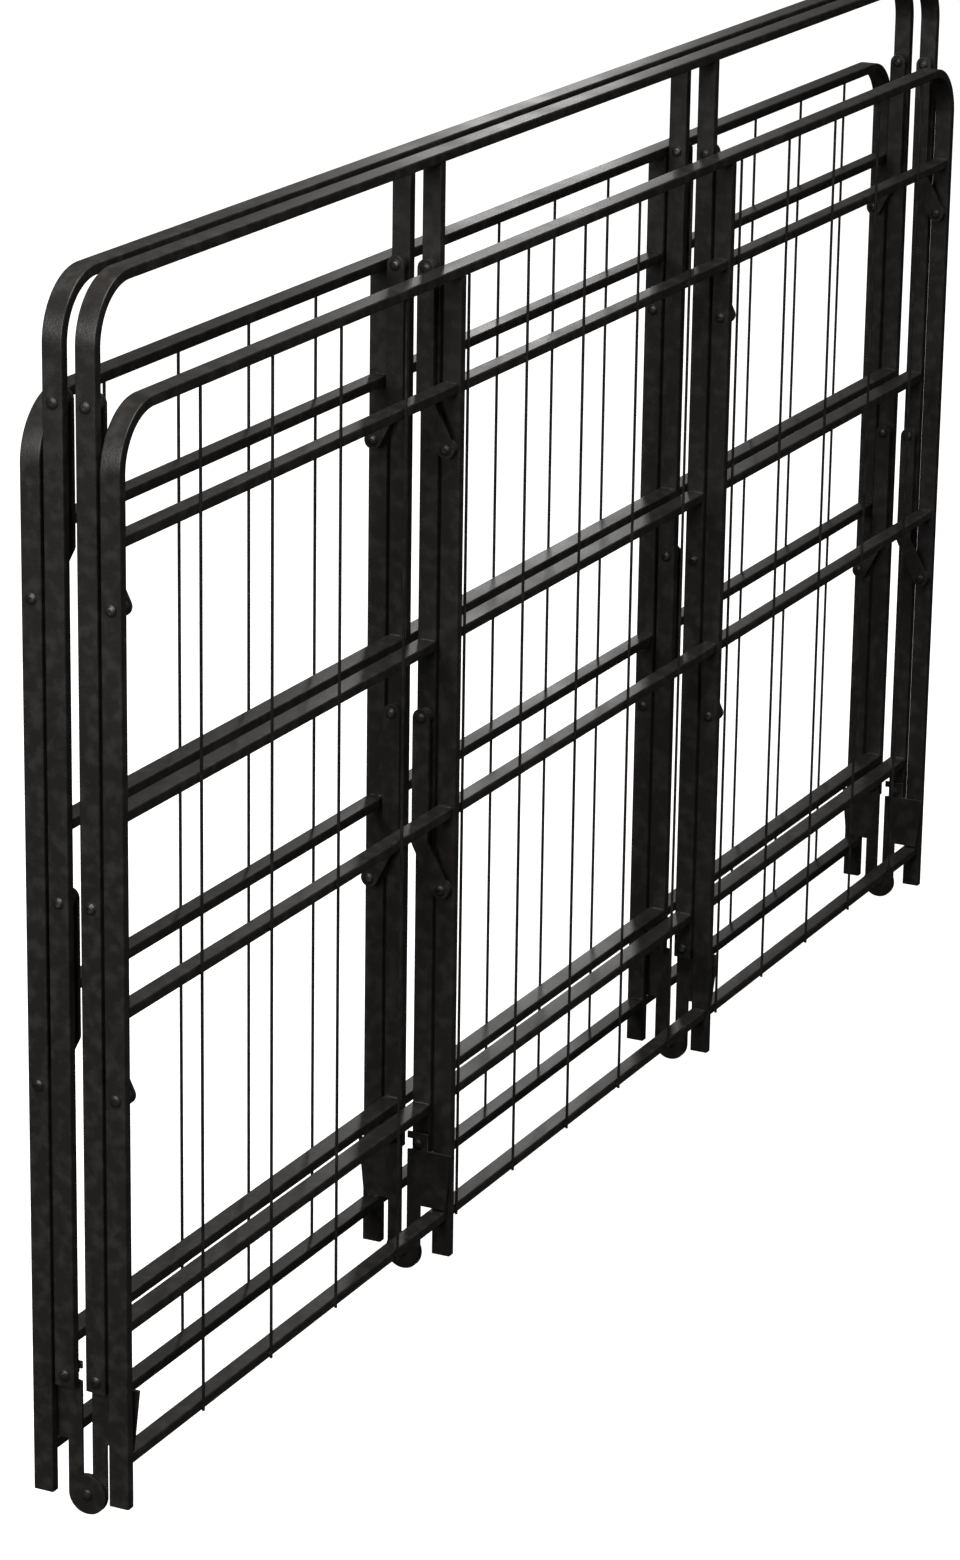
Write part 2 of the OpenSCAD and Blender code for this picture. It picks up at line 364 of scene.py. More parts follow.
@dataclass(frozen=True)
class Finish:
    """One finish and the values that it gives to the shared groups."""

    slot: Slot
    clean: tuple[float, float, float]
    rubbed: tuple[float, float, float]
    rub_share: float
    dust_share: float
    smoothest: float
    roughest: float
    peel_size: float
    grain_size: float
    grain_share: float
    relief_depth: float
    metallic: float = 0.0
    specular: float = 0.5
    dust: tuple[float, float, float] = (0.22, 0.20, 0.18)

    def material(self, relief: SurfaceRelief, handling: Handling) -> bpy.types.Material:
        """Builds the material.

        Args:
            relief: The shared group for fine relief.
            handling: The shared group for wear and dust.

        Returns:
            The new material.
        """
        made = bpy.data.materials.new(self.slot.value)
        made.use_nodes = True
        graph = Graph(made.node_tree)
        shader = made.node_tree.nodes["Principled BSDF"]
        place = graph.add("ShaderNodeTexCoord")
        edge = graph.add("ShaderNodeAttribute", attribute_name="edge")
        worn = graph.add("ShaderNodeGroup", node_tree=handling.tree)
        values = {
            "Vector": place.outputs["Object"],
            "Upward": place.outputs["Normal"],
            "Edge": edge.outputs["Fac"],
            "Clean": (*self.clean, 1.0),
            "Rubbed": (*self.rubbed, 1.0),
            "Dust": (*self.dust, 1.0),
            "Rub Share": self.rub_share,
            "Dust Share": self.dust_share,
            "Smoothest": self.smoothest,
            "Roughest": self.roughest,
        }
        for name, value in values.items():
            graph.feed(worn.inputs[name], value)
        rough = graph.add("ShaderNodeGroup", node_tree=relief.tree)
        sizes = {
            "Vector": place.outputs["Object"],
            "Peel Size": self.peel_size,
            "Grain Size": self.grain_size,
            "Grain Share": self.grain_share,
        }
        for name, value in sizes.items():
            graph.feed(rough.inputs[name], value)
        relief_inputs = {"Height": rough.outputs["Height"], "Distance": self.relief_depth}
        bump = graph.add("ShaderNodeBump", relief_inputs)
        graph.feed(shader.inputs["Base Color"], worn.outputs["Color"])
        graph.feed(shader.inputs["Roughness"], worn.outputs["Roughness"])
        graph.feed(shader.inputs["Normal"], bump.outputs["Normal"])
        shader.inputs["Metallic"].default_value = self.metallic
        shader.inputs["Specular IOR Level"].default_value = self.specular
        return made


COAT = Finish(
    slot=Slot.COAT,
    clean=(0.020, 0.0175, 0.0155),
    rubbed=(0.060, 0.056, 0.052),
    rub_share=0.5,
    dust_share=0.05,
    smoothest=0.30,
    roughest=0.40,
    peel_size=0.0022,
    grain_size=0.0005,
    grain_share=0.35,
    relief_depth=0.00012,
)
FASTENER = Finish(
    slot=Slot.FASTENER,
    clean=(0.045, 0.043, 0.041),
    rubbed=(0.22, 0.21, 0.20),
    rub_share=0.8,
    dust_share=0.05,
    smoothest=0.26,
    roughest=0.42,
    peel_size=0.0011,
    grain_size=0.0003,
    grain_share=0.6,
    relief_depth=0.00005,
    metallic=0.7,
)
NYLON = Finish(
    slot=Slot.NYLON,
    clean=(0.022, 0.022, 0.023),
    rubbed=(0.05, 0.05, 0.05),
    rub_share=0.3,
    dust_share=0.08,
    smoothest=0.48,
    roughest=0.60,
    peel_size=0.0009,
    grain_size=0.0003,
    grain_share=0.5,
    relief_depth=0.00006,
)


class Palette:
    """The finishes' materials, each built once."""

    def __init__(self) -> None:
        """Builds the shared groups and every material."""
        relief, handling = SurfaceRelief(), Handling()
        self.materials = {f.slot: f.material(relief, handling) for f in (COAT, FASTENER, NYLON)}

    def dress_packed(self, node: str, slot: Slot) -> None:
        """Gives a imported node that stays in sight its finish.

        Args:
            node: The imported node's name.
            slot: The finish to give it.
        """
        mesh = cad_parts[node].data
        mesh.materials.clear()
        mesh.materials.append(self.materials[slot])
        log.info("%s keeps its packed shape in %s", node, slot.value)


def lines_mesh(name: str, paths: list[list[Vector]]) -> bpy.types.Mesh:
    """Makes a mesh of open lines.

    Args:
        name: The mesh's name.
        paths: The points along each line.

    Returns:
        The new mesh.
    """
    points: list[Vector] = []
    edges: list[tuple[int, int]] = []
    for path in paths:
        edges += [(len(points) + i, len(points) + i + 1) for i in range(len(path) - 1)]
        points += path
    mesh = bpy.data.meshes.new(name)
    mesh.from_pydata(points, edges, [])
    return mesh


class ShapeTree:
    """A Geometry Nodes tree that turns lines or points into finished geometry."""

    label = "shape"
    inputs: dict[str, tuple[str, object]] = {}

    def __init__(self) -> None:
        """Builds the tree and notes the identifiers of its inputs."""
        sockets = {
            "Source": ("NodeSocketGeometry", None),
            **self.inputs,
            "Finish": ("NodeSocketMaterial", None),
        }
        outputs = {"Result": "NodeSocketGeometry"}
        self.graph, self.start, end = opened_group(self.label, "GeometryNodeTree", sockets, outputs)
        smooth = self.graph.add("GeometryNodeSetShadeSmooth", {"Geometry": self.shaped()})
        plain = self.graph.add("GeometryNodeRealizeInstances", {"Geometry": smooth.outputs[0]})
        inputs = {"Geometry": plain.outputs[0], "Material": self.start.outputs["Finish"]}
        coated = self.graph.add("GeometryNodeSetMaterial", inputs)
        self.graph.feed(end.inputs["Result"], coated.outputs[0])
        items = self.graph.tree.interface.items_tree
        self.identifiers = {item.name: item.identifier for item in items if item.in_out == "INPUT"}

    def shaped(self) -> bpy.types.NodeSocket:
        """Adds the nodes that make the shape and gives their last socket."""
        raise NotImplementedError

    def make(self, name: str, source: bpy.types.Mesh, values: dict, wall: float = 0.0) -> bpy.types.Object:
        """Runs the tree on a source mesh and keeps the result as a plain mesh.

        Args:
            name: The new piece's name.
            source: The lines or points to work on.
            values: The tree's inputs by name.
            wall: A wall to give the open shape, inwards.

        Returns:
            The new piece.
        """
        worker = bpy.data.objects.new(f"{name}_source", source)
        bpy.context.scene.collection.objects.link(worker)
        modifier = worker.modifiers.new("shape", "NODES")
        modifier.node_group = self.graph.tree
        for label, value in values.items():
            modifier[self.identifiers[label]] = value
        if wall:
            shell = worker.modifiers.new("wall", "SOLIDIFY")
            shell.thickness, shell.offset = wall, -1.0
        graph = bpy.context.evaluated_depsgraph_get()
        mesh = bpy.data.meshes.new_from_object(worker.evaluated_get(graph), depsgraph=graph)
        worker.modifiers.clear()
        bpy.data.objects.remove(worker)
        return placed(name, mesh)


class SweptTube(ShapeTree):
    """Sweeps a rounded rectangle along lines and rounds the lines' corners to the bends."""

    label = "swept_tube"
    inputs = {
        "First Side": ("NodeSocketFloat", 0.01),
        "Second Side": ("NodeSocketFloat", 0.02),
        "Corner Radius": ("NodeSocketFloat", 0.0014),
        "Corner Steps": ("NodeSocketInt", 4),
        "Bend Radius": ("NodeSocketFloat", 0.055),
        "Bend Steps": ("NodeSocketInt", 28),
    }

    def shaped(self) -> bpy.types.NodeSocket:
        """Adds the path, the profile and the sweep."""
        read = self.start.outputs
        line = self.graph.add("GeometryNodeMeshToCurve", {"Mesh": read["Source"]})
        bends = {"Curve": line.outputs[0], "Count": read["Bend Steps"], "Radius": read["Bend Radius"]}
        path = self.graph.add("GeometryNodeFilletCurve", bends, mode="POLY")
        sides = {"Width": read["First Side"], "Height": read["Second Side"]}
        sharp = self.graph.add("GeometryNodeCurvePrimitiveQuadrilateral", sides)
        corners = {
            "Curve": sharp.outputs[0],
            "Count": read["Corner Steps"],
            "Radius": read["Corner Radius"],
        }
        profile = self.graph.add("GeometryNodeFilletCurve", corners, mode="POLY")
        sweep = {"Curve": path.outputs[0], "Profile Curve": profile.outputs[0]}
        return self.graph.add("GeometryNodeCurveToMesh", sweep).outputs[0]


class RoundRod(ShapeTree):
    """Sweeps a circle along lines, for wires."""

    label = "round_rod"
    inputs = {"Radius": ("NodeSocketFloat", 0.0015), "Sides": ("NodeSocketInt", 14)}

    def shaped(self) -> bpy.types.NodeSocket:
        """Adds the line, the circle and the sweep."""
        read = self.start.outputs
        line = self.graph.add("GeometryNodeMeshToCurve", {"Mesh": read["Source"]})
        ring = self.graph.add(
            "GeometryNodeCurvePrimitiveCircle", {"Resolution": read["Sides"], "Radius": read["Radius"]}
        )
        sweep = {"Curve": line.outputs[0], "Profile Curve": ring.outputs[0], "Fill Caps": True}
        return self.graph.add("GeometryNodeCurveToMesh", sweep).outputs[0]


class WeldBead(ShapeTree):
    """Lays a rippled bead along lines, thin at both ends."""

    label = "weld_bead"
    thinnest = 0.04
    end_fullness = 0.3
    inputs = {
        "Radius": ("NodeSocketFloat", 0.0014),
        "Ripple": ("NodeSocketFloat", 0.18),
        "Rings": ("NodeSocketInt", 25),
        "Sides": ("NodeSocketInt", 8),
    }

    def shaped(self) -> bpy.types.NodeSocket:
        """Adds the resampled line and a scale that ripples and tapers."""
        read, graph = self.start.outputs, self.graph
        line = graph.add("GeometryNodeMeshToCurve", {"Mesh": read["Source"]})
        rings = graph.add("GeometryNodeResampleCurve", {"Curve": line.outputs[0], "Count": read["Rings"]})
        along = graph.add("GeometryNodeSplineParameter")
        swing = graph.math("SINE", graph.math("MULTIPLY", along.outputs["Index"], math.pi / 2))
        ripple = graph.math("ADD", 1.0, graph.math("MULTIPLY", swing, read["Ripple"]))
        arc = graph.math("SINE", graph.math("MULTIPLY", along.outputs["Factor"], math.pi))
        taper = graph.math("POWER", graph.math("MAXIMUM", arc, self.thinnest), self.end_fullness)
        ring = graph.add(
            "GeometryNodeCurvePrimitiveCircle", {"Resolution": read["Sides"], "Radius": read["Radius"]}
        )
        sweep = {
            "Curve": rings.outputs[0],
            "Profile Curve": ring.outputs[0],
            "Scale": graph.math("MULTIPLY", ripple, taper),
            "Fill Caps": True,
        }
        return graph.add("GeometryNodeCurveToMesh", sweep).outputs[0]


class Repeated(ShapeTree):
    """Sets a copy of one piece at every point."""

    label = "repeated"
    inputs = {"Piece": ("NodeSocketObject", None)}

    def shaped(self) -> bpy.types.NodeSocket:
        """Adds the piece's geometry and its instances."""
        piece = self.graph.add("GeometryNodeObjectInfo", {"Object": self.start.outputs["Piece"]})
        inputs = {"Points": self.start.outputs["Source"], "Instance": piece.outputs["Geometry"]}
        return self.graph.add("GeometryNodeInstanceOnPoints", inputs).outputs[0]


def placed(name: str, mesh: bpy.types.Mesh) -> bpy.types.Object:
    """Puts a mesh in the scene as an object at the origin.

    Args:
        name: The object's name.
        mesh: Its mesh.

    Returns:
        The new object.
    """
    mesh.name = name
    made = bpy.data.objects.new(name, mesh)
    bpy.context.scene.collection.objects.link(made)
    return made


def finish_surface(piece: bpy.types.Object, crease: float = 40.0, edge_turn: float = 8.0) -> None:
    """Turns faces outwards, smooths them, and marks the rounded edges for the finish.

    Args:
        piece: The piece to finish.
        crease: The angle between faces, in degrees, that stays a sharp line.
        edge_turn: The angle between faces, in degrees, that counts as a rounded edge.
    """
    shape = bmesh.new()
    shape.from_mesh(piece.data)
    bmesh.ops.remove_doubles(shape, verts=shape.verts, dist=1e-6)
    bmesh.ops.recalc_face_normals(shape, faces=shape.faces)
    turned = [0.0] * len(shape.verts)
    limit = math.radians(edge_turn)
    for line in shape.edges:
        if len(line.link_faces) == 2 and line.calc_face_angle() > limit:
            for corner in line.verts:
                turned[corner.index] = 1.0
    shape.to_mesh(piece.data)
    shape.free()
    mask = piece.data.attributes.new("edge", "FLOAT", "POINT")
    mask.data.foreach_set("value", turned)
    piece.data.shade_smooth()
    piece.data.set_sharp_from_angle(angle=math.radians(crease))
    weighted = piece.modifiers.new("weighted", "WEIGHTED_NORMAL")
    weighted.keep_sharp = True
    graph = bpy.context.evaluated_depsgraph_get()
    mesh = bpy.data.meshes.new_from_object(piece.evaluated_get(graph), depsgraph=graph)
    piece.modifiers.clear()
    piece.data = mesh


def arc(centre: tuple[float, float], radius: float, start: float, end: float, steps: int) -> Outline:
    """Gives points along an arc, its ends included.

    Args:
        centre: The arc's centre.
        radius: Its radius.
        start: The angle that it starts at, in degrees.
        end: The angle that it ends at, in degrees.
        steps: How many chords it has.

    Returns:
        The points in order.
    """
    turns = [math.radians(start + (end - start) * i / steps) for i in range(steps + 1)]
    return [(centre[0] + radius * math.cos(t), centre[1] + radius * math.sin(t)) for t in turns]


def flat_piece(name: str, outline: Outline, thickness: float) -> bpy.types.Object:
    """Cuts an outline from flat bar, centred on X = 0, and breaks its edges.

    Args:
        name: The piece's name.
        outline: The points in Y and Z.
        thickness: The bar's thickness.

    Returns:
        The new piece.
    """
    shape = bmesh.new()
    corners = [shape.verts.new((-thickness / 2, y, z)) for y, z in outline]
    face = shape.faces.new(corners)
    raised = bmesh.ops.extrude_face_region(shape, geom=[face])
    moved = [part for part in raised["geom"] if isinstance(part, bmesh.types.BMVert)]
    bmesh.ops.translate(shape, verts=moved, vec=(thickness, 0.0, 0.0))
    bmesh.ops.recalc_face_normals(shape, faces=shape.faces)
    rims = [e for e in shape.edges if abs(e.verts[0].co.x - e.verts[1].co.x) < thickness / 2]
    bmesh.ops.bevel(
        shape, geom=rims, offset=STOCK.broken_edge, segments=2, profile=0.5, affect="EDGES",
        clamp_overlap=True
    )
    mesh = bpy.data.meshes.new(name)
    shape.to_mesh(mesh)
    shape.free()
    return placed(name, mesh)


@dataclass(frozen=True)
class HeadedPin:
    """A round pin along X with a domed head and a key socket at each end."""

    grip: float
    sides: int = 24
    rim_share: float = 0.96
    rim_rise: float = 0.06
    dome_shares: tuple[float, ...] = (1.0, 0.97, 0.85, 0.7, 0.55)
    socket_draft: float = 0.97

    def ring(self, x: float, radius: float, keyed: bool = False) -> list[Vector]:
        """Gives one ring of points, round or six-sided.

        Args:
            x: The ring's place along the pin.
            radius: Its radius, at the corners if it is six-sided.
            keyed: Whether it is six-sided.

        Returns:
            The ring's points.
        """
        points = []
        sixth = math.pi / 3
        for i in range(self.sides):
            turn = 2 * math.pi * i / self.sides
            flat = math.cos(sixth / 2) / math.cos(turn % sixth - sixth / 2) if keyed else 1.0
            points.append(Vector((x, radius * flat * math.cos(turn), radius * flat * math.sin(turn))))
        return points

    def rings(self) -> list[list[Vector]]:
        """Gives the rings from the middle of the pin to the floor of one head's socket."""
        seat, dome = self.grip / 2, 2 * STOCK.head_r
        found = [self.ring(seat, STOCK.pin_r), self.ring(seat, STOCK.head_r * self.rim_share)]
        found.append(self.ring(seat + STOCK.head_h * self.rim_rise, STOCK.head_r))
        for share in self.dome_shares:
            radius = STOCK.head_r * share
            height = STOCK.head_h - dome + math.sqrt(dome**2 - radius**2)
            found.append(self.ring(seat + height, radius))
        top = seat + STOCK.head_h - dome + math.sqrt(dome**2 - STOCK.socket_r**2)
        floor = seat + STOCK.head_h - STOCK.socket_depth
        found.append(self.ring(top, STOCK.socket_r, keyed=True))
        found.append(self.ring(floor, STOCK.socket_r * self.socket_draft, keyed=True))
        return found

    def build(self, name: str) -> bpy.types.Object:
        """Builds the pin, centred on the origin.

        Args:
            name: The piece's name.

        Returns:
            The new piece.
        """
        right = self.rings()
        left = [[Vector((-p.x, p.y, p.z)) for p in ring] for ring in reversed(right)]
        shape = bmesh.new()
        rows = [[shape.verts.new(p) for p in ring] for ring in left + right]
        for near, far in zip(rows, rows[1:]):
            for i in range(self.sides):
                after = (i + 1) % self.sides
                shape.faces.new((near[i], near[after], far[after], far[i]))
        shape.faces.new(rows[0])
        shape.faces.new(list(reversed(rows[-1])))
        mesh = bpy.data.meshes.new(name)
        shape.to_mesh(mesh)
        shape.free()
        return placed(name, mesh)


@dataclass
class Workshop:
    """The trees and finishes that every sub-assembly uses."""

    palette: Palette = field(default_factory=Palette)
    tube: SweptTube = field(default_factory=SweptTube)
    rod: RoundRod = field(default_factory=RoundRod)
    bead: WeldBead = field(default_factory=WeldBead)
    repeated: Repeated = field(default_factory=Repeated)

    def hand_over(self, piece: bpy.types.Object, body: str, slot: Slot, *nodes: str) -> None:
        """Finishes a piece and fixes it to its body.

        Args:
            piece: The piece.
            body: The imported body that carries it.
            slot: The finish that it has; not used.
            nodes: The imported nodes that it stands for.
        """
        finish_surface(piece)
        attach(piece, body)
        if nodes:
            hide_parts(*nodes)
        log.info("%s rides on %s with %d faces", piece.name, body, len(piece.data.polygons))

    def swept(
        self, name: str, paths: list[list[Vector]], first: float, second: float
    ) -> bpy.types.Object:
        """Makes tubes along lines.

        Args:
            name: The piece's name.
            paths: The tubes' centre lines.
            first: The tube's side that lies across its path, level with the frame.
            second: The tube's other side.

        Returns:
            The new piece.
        """
        values = {
            "First Side": first,
            "Second Side": second,
            "Corner Radius": STOCK.tube_corner,
            "Corner Steps": STOCK.corner_steps,
            "Bend Radius": STOCK.bend_radius - STOCK.tube_w / 2,
            "Bend Steps": STOCK.bend_steps,
            "Finish": self.palette.materials[Slot.COAT],
        }
        return self.tube.make(name, lines_mesh(name, paths), values, wall=STOCK.tube_wall)

    def beads(self, name: str, lines: list[list[Vector]], radius: float) -> bpy.types.Object:
        """Lays weld beads along lines.

        Args:
            name: The piece's name.
            lines: The two ends of each bead.
            radius: The bead's radius.

        Returns:
            The new piece.
        """
        values = {"Radius": radius, "Finish": self.palette.materials[Slot.COAT]}
        return self.bead.make(name, lines_mesh(name, lines), values)

    def copies(
        self, name: str, pattern: bpy.types.Object, points: list[Vector], slot: Slot
    ) -> bpy.types.Object:
        """Sets copies of a pattern piece at points, and removes the pattern.

        Args:
            name: The piece's name.
            pattern: The piece to repeat.
            points: Where its origin goes.
            slot: The finish that the copies have.

        Returns:
            The new piece.
        """
        source = bpy.data.meshes.new(name)
        source.from_pydata(points, [], [])
        values = {"Piece": pattern, "Finish": self.palette.materials[slot]}
        made = self.repeated.make(name, source, values)
        bpy.data.objects.remove(pattern)
        return made


@dataclass
class TubeFrame:
    """A hoop with two inner posts and rows of bars: what a deck and a base frame share."""

    shop: Workshop
    layout: Layout
    half: Half
    body: str
    bars: tuple[str, ...]

    def named(self, part: str) -> str:
        """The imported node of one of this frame's parts."""
        return f"{self.body}_{part}"

    def depth(self) -> tuple[float, float]:
        """Gives the middle and the size of the frame's tubes through the pack."""
        low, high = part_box(self.named("hoop"))
        return (low.y + high.y) / 2, high.y - low.y

    def build_hoop(self) -> None:
        """Builds the bent tube round the frame."""
        low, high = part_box(self.named("hoop"))
        y, thickness = self.depth()
        inset = STOCK.tube_w / 2
        left, right, top = low.x + inset, high.x - inset, high.z - inset
        corners = [(left, low.z), (left, top), (right, top), (right, low.z)]
        path = [Vector((x, y, z)) for x, z in corners]
        hoop = self.shop.swept(f"{self.body}_rim", [path], STOCK.tube_w, thickness)
        self.shop.hand_over(hoop, self.body, Slot.COAT, self.named("hoop"))

    def build_posts(self) -> None:
        """Builds the two inner uprights."""
        low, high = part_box(self.named("posts"))
        y, thickness = self.depth()
        middles = [x + STOCK.tube_w / 2 for x in self.layout.lefts[1:3]]
        paths = [[Vector((x, y, low.z)), Vector((x, y, high.z))] for x in middles]
        posts = self.shop.swept(f"{self.body}_uprights", paths, STOCK.tube_w, thickness)
        self.shop.hand_over(posts, self.body, Slot.COAT, self.named("posts"))

    def build_bars(self) -> None:
        """Builds each row of bars, three tubes between the uprights."""
        for bar in self.bars:
            low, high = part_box(self.named(bar))
            y, z = (low.y + high.y) / 2, (low.z + high.z) / 2
            paths = [[Vector((a, y, z)), Vector((b, y, z))] for a, b in self.layout.bays()]
            made = self.shop.swept(f"{self.named(bar)}_tubes", paths, high.y - low.y, high.z - low.z)
            self.shop.hand_over(made, self.body, Slot.COAT, self.named(bar))

    def weld_lines(self) -> list[list[Vector]]:
        """Gives the bead at every end of every bar and at the top of each inner upright."""
        places = []
        for bar in self.bars:
            low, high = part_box(self.named(bar))
            for ends in self.layout.bays():
                places += [(x, z, low.y, high.y) for x in ends for z in (low.z, high.z)]
        low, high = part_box(self.named("posts"))
        for left in self.layout.lefts[1:3]:
            places += [(x, high.z, low.y, high.y) for x in (left, left + STOCK.tube_w)]
        margin = STOCK.weld_margin
        return [[Vector((x, a + margin, z)), Vector((x, b - margin, z))] for x, z, a, b in places]

    def build_welds(self) -> None:
        """Lays the weld beads."""
        welds = self.shop.beads(f"{self.body}_welds", self.weld_lines(), STOCK.weld_r)
        self.shop.hand_over(welds, self.body, Slot.COAT)

    def build_pins(self, node: str, inner: float, outer: float, heights: list[float]) -> None:
        """Builds a row of headed pins through all four uprights.

        Args:
            node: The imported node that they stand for.
            inner: Where their inner head seats, off the uprights' side faces.
            outer: Where their outer head seats.
            heights: The pins' heights.
        """
        low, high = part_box(node)
        y = (low.y + high.y) / 2
        pattern = HeadedPin(outer - inner).build(f"{node}_pattern")
        points = [Vector((x, y, z)) for x in self.layout.centred(inner, outer) for z in heights]
        pins = self.shop.copies(f"{node}_headed", pattern, points, Slot.FASTENER)
        self.shop.hand_over(pins, self.body, Slot.FASTENER, node)

    def pivot_heights(self, node: str) -> list[float]:
        """Gives the heights of the two rows of pivots in a node of rivets."""
        low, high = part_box(node)
        return [low.z + STOCK.head_r, high.z - STOCK.head_r]

    def rivet_reach(self) -> tuple[float, float]:
        """Gives where a rivet's two heads seat, off the uprights' side faces."""
        link_low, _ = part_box(self.half.named("lower_links"))
        outer = link_low.x - self.layout.side_face(0) + STOCK.link_t + STOCK.pin_play
        return -STOCK.tube_w - STOCK.pin_play, outer

    def build_rivets(self) -> None:
        """Builds the pivot rivets and dresses the bushes under them."""
        node = self.named("rivets")
        self.build_pins(node, *self.rivet_reach(), self.pivot_heights(node))
        self.shop.palette.dress_packed(self.named("bushes"), Slot.NYLON)


class Deck(TubeFrame):
    """A half's deck: the frame that faces outwards, its wires and its hinge plates."""

    ear_in = 0.004
    ear_lip = 0.001
    notch_play = 0.001
    pad_inset = 0.002

    def build_wires(self) -> None:
        """Builds the row of wires and the spots that weld them to the bars."""
        node = self.half.named("wires")
        low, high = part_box(node)
        y = (low.y + high.y) / 2
        pitch = (high.x - low.x - STOCK.wire_d) / (STOCK.wire_count - 1)
        places = [low.x + STOCK.wire_d / 2 + i * pitch for i in range(STOCK.wire_count)]
        paths = [[Vector((x, y, low.z)), Vector((x, y, high.z))] for x in places]
        values = {"Radius": STOCK.wire_d / 2, "Finish": self.shop.palette.materials[Slot.COAT]}
        wires = self.shop.rod.make(f"{node}_rods", lines_mesh(node, paths), values)
        self.shop.hand_over(wires, self.body, Slot.COAT, node)
        self.build_wire_spots(places)

    def build_wire_spots(self, places: list[float]) -> None:
        """Lays a small bead where each wire crosses a bar.

        Args:
            places: The wires' places along the bed's width.
        """
        lines = []
        for bar in self.bars:
            low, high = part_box(self.named(bar))
            face = low.y if self.half is Half.FRONT else high.y
            middle = (low.z + high.z) / 2
            ends = (middle - STOCK.spot_reach, middle + STOCK.spot_reach)
            lines += [[Vector((x, face, z)) for z in ends] for x in places]
        spots = self.shop.beads(f"{self.body}_wire_spots", lines, STOCK.spot_r)
        self.shop.hand_over(spots, self.body, Slot.COAT)

    def plate_outline(self) -> Outline:
        """Gives a hinge plate's outline in this half's Y and Z."""
        low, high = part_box(self.half.named("hinge_plates"))
        pad_low, pad_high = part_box(self.half.named("hinge_pads"))
        base_low, base_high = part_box(self.half.named("base_hoop"))
        pin_low, pin_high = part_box(self.half.named("stow_pins"))
        axis_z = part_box("fold_bolts")[0].z + STOCK.head_r
        lobe_r = axis_z - low.z
        lip = max(abs(low.y), abs(high.y))
        tucked = max(abs(pad_low.y), abs(pad_high.y))
        ear_out = max(abs(base_low.y), abs(base_high.y)) + self.ear_lip
        foot = pad_low.z - self.pad_inset
        shoulder = pad_high.z + self.pad_inset
        stow_y = (abs(base_low.y) + abs(base_high.y)) / 2
        stow_z = (pin_low.z + pin_high.z) / 2
        notch_r = STOCK.pin_r + self.notch_play
        slope = (2 * STOCK.pin_r - notch_r) / stow_y
        mouth = stow_z - notch_r - slope * (stow_y - self.ear_in)
        meet = math.degrees(math.acos(self.ear_in / lobe_r))
        points = [(lobe_r, foot), (tucked, foot), (lip, shoulder), (ear_out, shoulder)]
        points += [(ear_out, high.z), (self.ear_in, high.z), (self.ear_in, stow_z + notch_r)]
        points += arc((stow_y, stow_z), notch_r, 90.0, -90.0, 12)
        points += [(self.ear_in, mouth)]
        points += arc((0.0, axis_z), lobe_r, meet, 360.0, 56)
        return [(self.half.value * y, z) for y, z in points]

    def build_plates(self) -> None:
        """Builds the four hinge plates."""
        node = self.half.named("hinge_plates")
        low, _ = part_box(node)
        off = low.x - self.layout.side_face(0)
        pattern = flat_piece(f"{node}_pattern", self.plate_outline(), STOCK.plate_t)
        points = [Vector((x, 0.0, 0.0)) for x in self.layout.centred(off, off + STOCK.plate_t)]
        plates = self.shop.copies(f"{node}_cut", pattern, points, Slot.COAT)
        self.shop.hand_over(plates, self.body, Slot.COAT, node)
        self.shop.palette.dress_packed(self.half.named("hinge_pads"), Slot.COAT)

    def build(self) -> None:
        """Builds the whole deck."""
        self.build_hoop()
        self.build_posts()
        self.build_bars()
        self.build_welds()
        self.build_wires()
        self.build_plates()
        self.build_rivets()


class BaseFrame(TubeFrame):
    """A half's base frame: what stands on the floor when the bed is open."""

    def build_stow_pins(self) -> None:
        """Builds the pins that lie in the plates' notches."""
        node = self.half.named("stow_pins")
        low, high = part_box(node)
        plate_low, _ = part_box("front_hinge_plates")
        face = self.layout.side_face(0)
        inner = low.x + STOCK.head_h - face
        outer = plate_low.x - face + STOCK.plate_t + STOCK.plate_gap
        self.build_pins(node, inner, outer, [(low.z + high.z) / 2])

    def build(self) -> None:
        """Builds the whole base frame."""
        self.build_hoop()
        self.build_posts()
        self.build_bars()
        self.build_welds()
        self.build_rivets()
        self.build_stow_pins()


